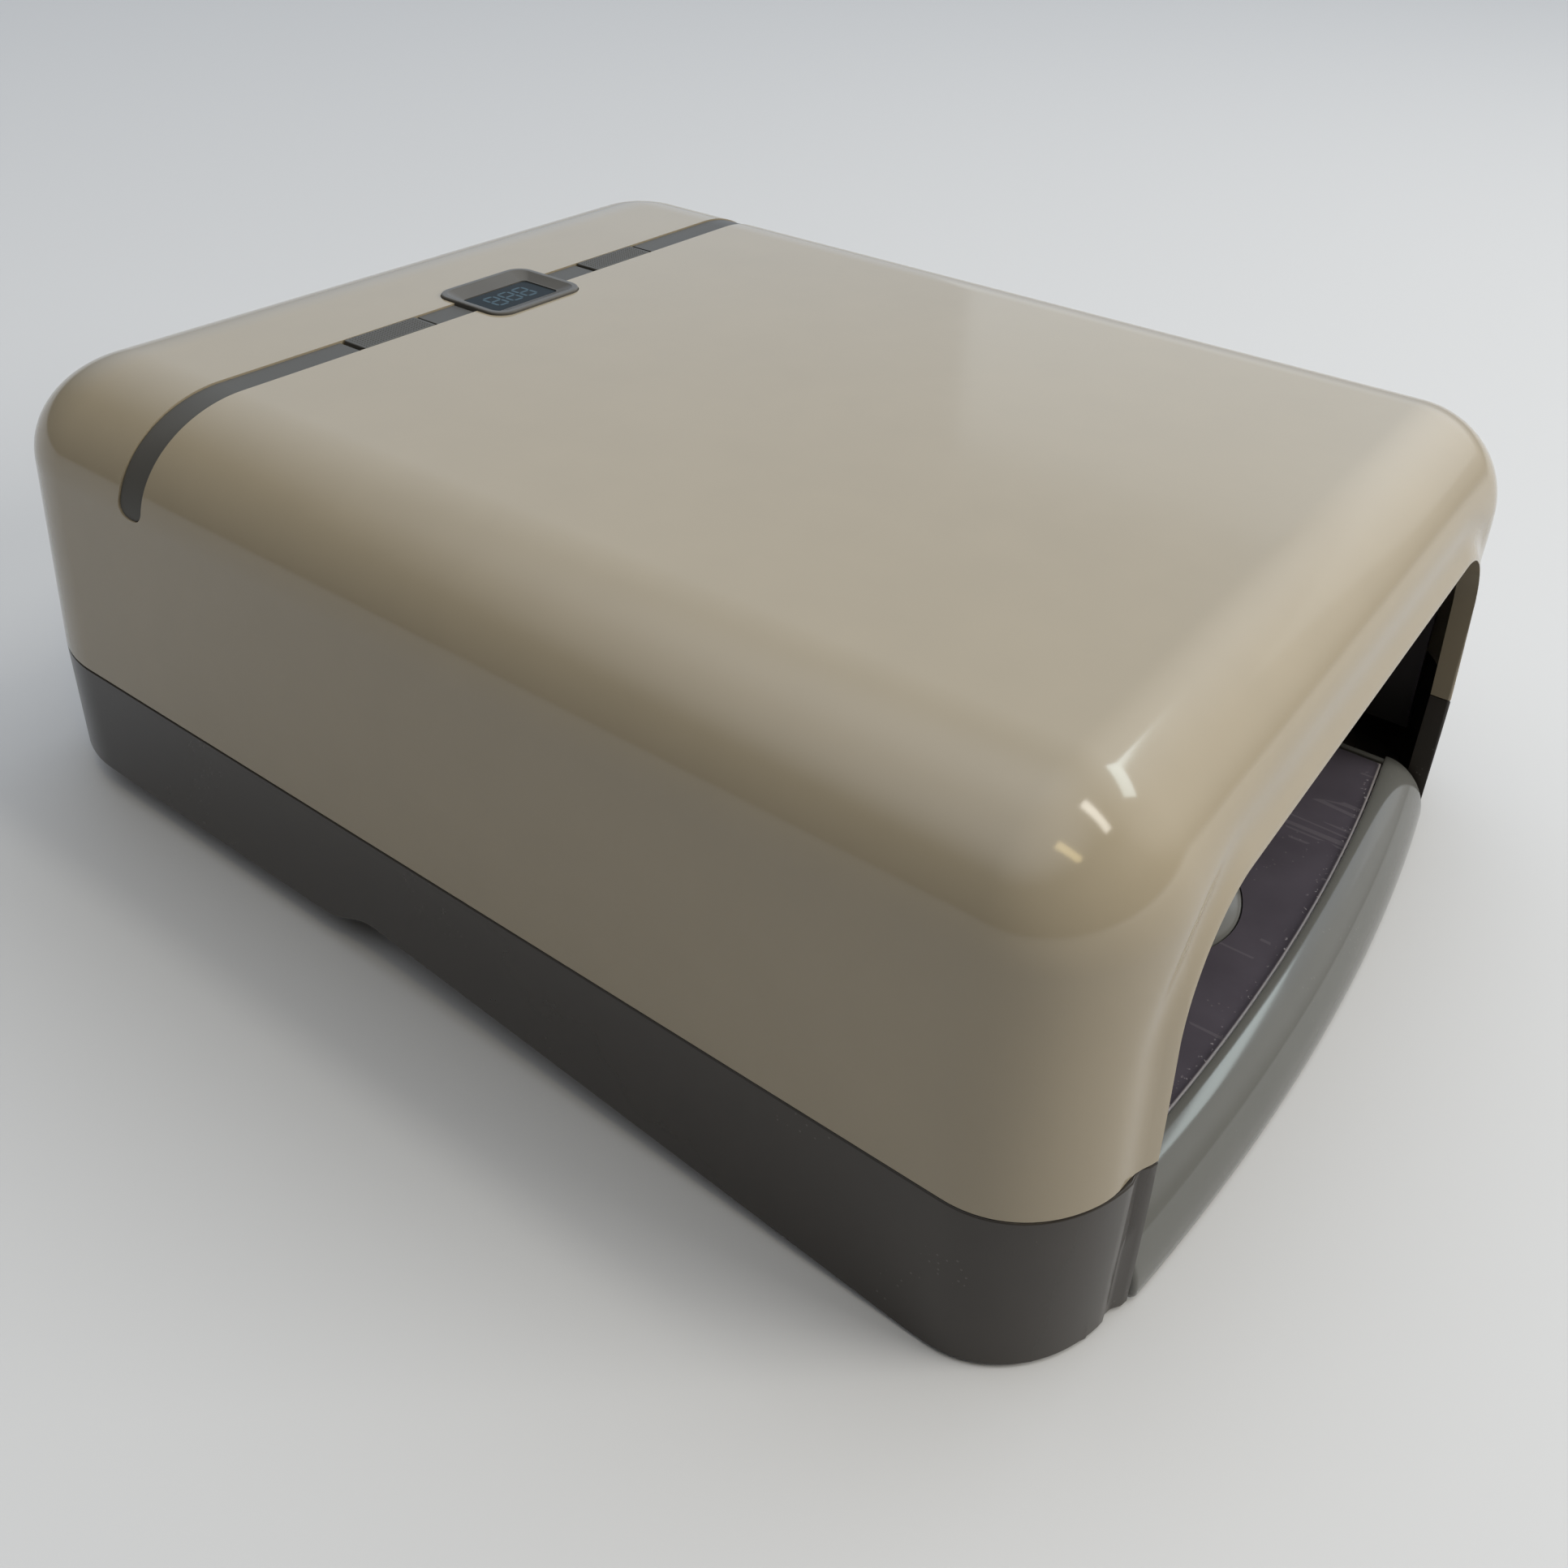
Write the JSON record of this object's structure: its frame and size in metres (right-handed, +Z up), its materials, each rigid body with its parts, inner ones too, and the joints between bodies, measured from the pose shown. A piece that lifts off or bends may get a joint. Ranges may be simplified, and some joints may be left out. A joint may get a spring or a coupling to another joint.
{
  "type": "uv curing lamp",
  "caption": "Box-shaped UV curing lamp with a rounded shell, a wide front hand opening, a pull-out tray, a timer display and keys in an accent strip, and twin-leg tubes inside.",
  "frame": {"origin": "on the table, under the middle of the whole lamp", "axes": "+Z up, -Y is the open front where the hand goes in, +X to the right seen from the front"},
  "size_m": [0.23, 0.3062, 0.1106],
  "materials": {
    "shell_gloss": "high gloss warm grey-beige moulding",
    "casing_plastic": "semi-gloss dark taupe moulding",
    "accent_plastic": "fine textured dark grey",
    "bezel_plastic": "satin grey-taupe moulding",
    "window_plastic": "clear dark tinted, polished",
    "circuit_board": "green solder mask",
    "black_plastic": "satin black",
    "reflector_metal": "polished sheet",
    "tube_glass": "white phosphor under glass",
    "white_plastic": "satin white moulding",
    "steel": "zinc plated",
    "tray_gloss": "high gloss grey-green moulding",
    "insert_film": "dark mirror-like film with fine scratches",
    "copper_winding": "enamelled copper wire",
    "heat_sink_metal": "extruded, satin",
    "rubber": "matt black"
  },
  "bodies": {
    "housing": {"accent_link_left": "accent_plastic", "accent_link_right": "accent_plastic", "accent_strip_left": "accent_plastic", "accent_strip_right": "accent_plastic", "ballast_board": "circuit_board", "ballast_capacitor": "black_plastic", "ballast_choke": "copper_winding", "ballast_heat_sink": "heat_sink_metal", "casing_screw_front_left": "steel", "casing_screw_front_right": "steel", "casing_screw_rear_left": "steel", "casing_screw_rear_right": "steel", "control_board": "circuit_board", "display_bezel": "bezel_plastic", "display_module": "black_plastic", "display_window": "window_plastic", "front_foot_left": "rubber", "front_foot_right": "rubber", "hand_sensor": "window_plastic", "lamp_socket_1": "white_plastic", "lamp_socket_2": "white_plastic", "lamp_socket_3": "white_plastic", "lamp_socket_4": "white_plastic", "lower_casing": "casing_plastic", "power_inlet": "black_plastic", "rear_bulkhead": "black_plastic", "rear_foot_left": "rubber", "rear_foot_right": "rubber", "reflector": "reflector_metal", "side_liner_left": "black_plastic", "side_liner_right": "black_plastic", "switch_housing": "black_plastic", "top_shell": "shell_gloss", "tray_rail_left": "casing_plastic", "tray_rail_right": "casing_plastic", "tube_base_1": "white_plastic", "tube_base_2": "white_plastic", "tube_base_3": "white_plastic", "tube_base_4": "white_plastic", "tube_clip_1": "steel", "tube_clip_2": "steel", "tube_clip_3": "steel", "tube_clip_4": "steel", "uv_tube_1": "tube_glass", "uv_tube_2": "tube_glass", "uv_tube_3": "tube_glass", "uv_tube_4": "tube_glass"},
    "tray": {"tray_body": "tray_gloss", "tray_insert": "insert_film", "finger_guide": "tray_gloss"},
    "left_key_cap": {"left_key": "accent_plastic"},
    "right_key_cap": {"right_key": "accent_plastic"},
    "power_rocker": {"switch_rocker": "black_plastic"}
  },
  "joints": [
    {"name": "tray_slide", "type": "slide", "parent": "housing", "child": "tray", "axis": [0, -1, 0], "range_m": [0, 0.18]},
    {"name": "left_key_press", "type": "slide", "parent": "housing", "child": "left_key_cap", "axis": [0, 0, -1], "range_m": [0, 0.0006], "stiffness_N_per_m": 1500, "springref_m": -0.0002},
    {"name": "right_key_press", "type": "slide", "parent": "housing", "child": "right_key_cap", "axis": [0, 0, -1], "range_m": [0, 0.0006], "stiffness_N_per_m": 1500, "springref_m": -0.0002},
    {"name": "power_switch_rock", "type": "hinge", "parent": "housing", "child": "power_rocker", "pos_m": [0.062, 0.14686, 0.0225], "axis": [1, 0, 0], "range_deg": [0, 14]}
  ]
}
